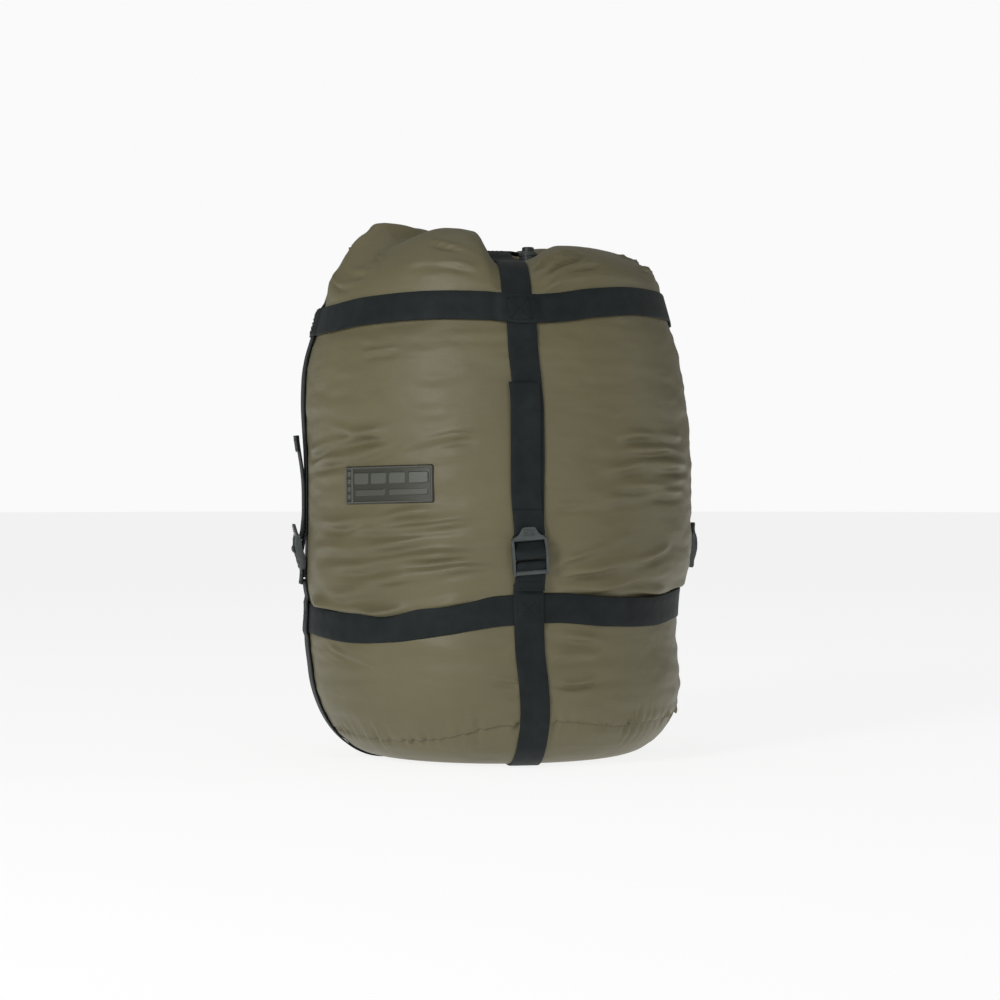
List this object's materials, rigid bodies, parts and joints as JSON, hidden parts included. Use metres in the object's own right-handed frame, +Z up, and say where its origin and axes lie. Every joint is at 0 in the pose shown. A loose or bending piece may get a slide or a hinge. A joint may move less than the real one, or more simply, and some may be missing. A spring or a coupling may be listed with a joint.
{
  "type": "compression stuff sack",
  "caption": "Round fabric compression sack packed full, with gathered drawcord mouth, hoops and cinch straps with ladder-lock buckles.",
  "frame": {"origin": "middle of the sack's base, on the floor", "axes": "+Z up the sack towards its mouth, -Y out through the front strap, +X towards the right-hand strap"},
  "size_m": [0.3588, 0.3588, 0.461],
  "materials": {
    "sack_fabric": "satin woven nylon",
    "packed_bag": "matt",
    "webbing": "woven",
    "thread": "sewn",
    "cord": "braided",
    "buckle_plastic": "fine texture",
    "button_plastic": "fine texture",
    "spring_steel": "drawn wire",
    "patch_rubber": "moulded, low relief"
  },
  "bodies": {
    "sack_base": {"base_panel": "sack_fabric", "lower_fabric": "sack_fabric", "middle_fabric": "sack_fabric", "packed_bag_lower": "packed_bag", "lower_hoop": "webbing", "bottom_strap_front_back": "webbing", "bottom_strap_left_right": "webbing", "stitches_lower": "thread", "label_patch": "patch_rubber", "anchor_loop_front": "webbing", "anchor_loop_right": "webbing", "anchor_loop_back": "webbing", "anchor_loop_left": "webbing", "load_strap_front": "webbing", "load_strap_right": "webbing", "load_strap_back": "webbing", "load_strap_left": "webbing"},
    "sack_top": {"upper_fabric": "sack_fabric", "gathered_mouth": "sack_fabric", "drawcord_hem": "sack_fabric", "drawcord": "cord", "drawcord_knot": "cord", "packed_bag_upper": "packed_bag", "upper_hoop": "webbing", "top_strap_front_back": "webbing", "top_strap_left_right": "webbing", "stitches_upper": "thread", "stitches_crown": "thread", "cord_lock_barrel": "buckle_plastic", "cord_lock_spring": "spring_steel"},
    "button": {"cord_lock_button": "button_plastic"},
    "tail_front": {"strap_tail_front": "webbing"},
    "tail_right": {"strap_tail_right": "webbing"},
    "tail_back": {"strap_tail_back": "webbing"},
    "tail_left": {"strap_tail_left": "webbing"},
    "lock_front": {"ladder_lock_front": "buckle_plastic", "strap_turn_front": "webbing"},
    "lock_right": {"ladder_lock_right": "buckle_plastic", "strap_turn_right": "webbing"},
    "lock_back": {"ladder_lock_back": "buckle_plastic", "strap_turn_back": "webbing"},
    "lock_left": {"ladder_lock_left": "buckle_plastic", "strap_turn_left": "webbing"}
  },
  "joints": [
    {"name": "compress", "type": "slide", "parent": "sack_base", "child": "sack_top", "axis": [0, 0, 1], "range_m": [-0.05, 0], "deforming": ["middle_fabric", "label_patch", "load_strap_front", "load_strap_right", "load_strap_back", "load_strap_left"]},
    {"name": "button_press", "type": "slide", "parent": "sack_top", "child": "button", "axis": [0, 0, 1], "range_m": [-0.004, 0], "stiffness_N_per_m": 400, "springref_m": 0.002, "deforming": ["cord_lock_spring"]},
    {"name": "tail_feed_front", "type": "slide", "parent": "sack_base", "child": "tail_front", "axis": [0, 0, 1], "range_m": [0, 0.05]},
    {"name": "tail_feed_right", "type": "slide", "parent": "sack_base", "child": "tail_right", "axis": [0, 0, 1], "range_m": [0, 0.05]},
    {"name": "tail_feed_back", "type": "slide", "parent": "sack_base", "child": "tail_back", "axis": [0, 0, 1], "range_m": [0, 0.05]},
    {"name": "tail_feed_left", "type": "slide", "parent": "sack_base", "child": "tail_left", "axis": [0, 0, 1], "range_m": [0, 0.05]},
    {"name": "lock_tilt_front", "type": "hinge", "parent": "sack_base", "child": "lock_front", "pos_m": [0, -0.1728, 0.172], "axis": [1, 0, 0], "range_deg": [0, 20]},
    {"name": "lock_tilt_right", "type": "hinge", "parent": "sack_base", "child": "lock_right", "pos_m": [0.1728, 0, 0.172], "axis": [0, 1, 0], "range_deg": [0, 20]},
    {"name": "lock_tilt_back", "type": "hinge", "parent": "sack_base", "child": "lock_back", "pos_m": [0, 0.1728, 0.172], "axis": [-1, 0, 0], "range_deg": [0, 20]},
    {"name": "lock_tilt_left", "type": "hinge", "parent": "sack_base", "child": "lock_left", "pos_m": [-0.1728, 0, 0.172], "axis": [0, -1, 0], "range_deg": [0, 20]}
  ],
  "couplings": [
    {"joint": "tail_feed_front", "follows": "compress", "ratio": -1},
    {"joint": "tail_feed_right", "follows": "compress", "ratio": -1},
    {"joint": "tail_feed_back", "follows": "compress", "ratio": -1},
    {"joint": "tail_feed_left", "follows": "compress", "ratio": -1}
  ]
}
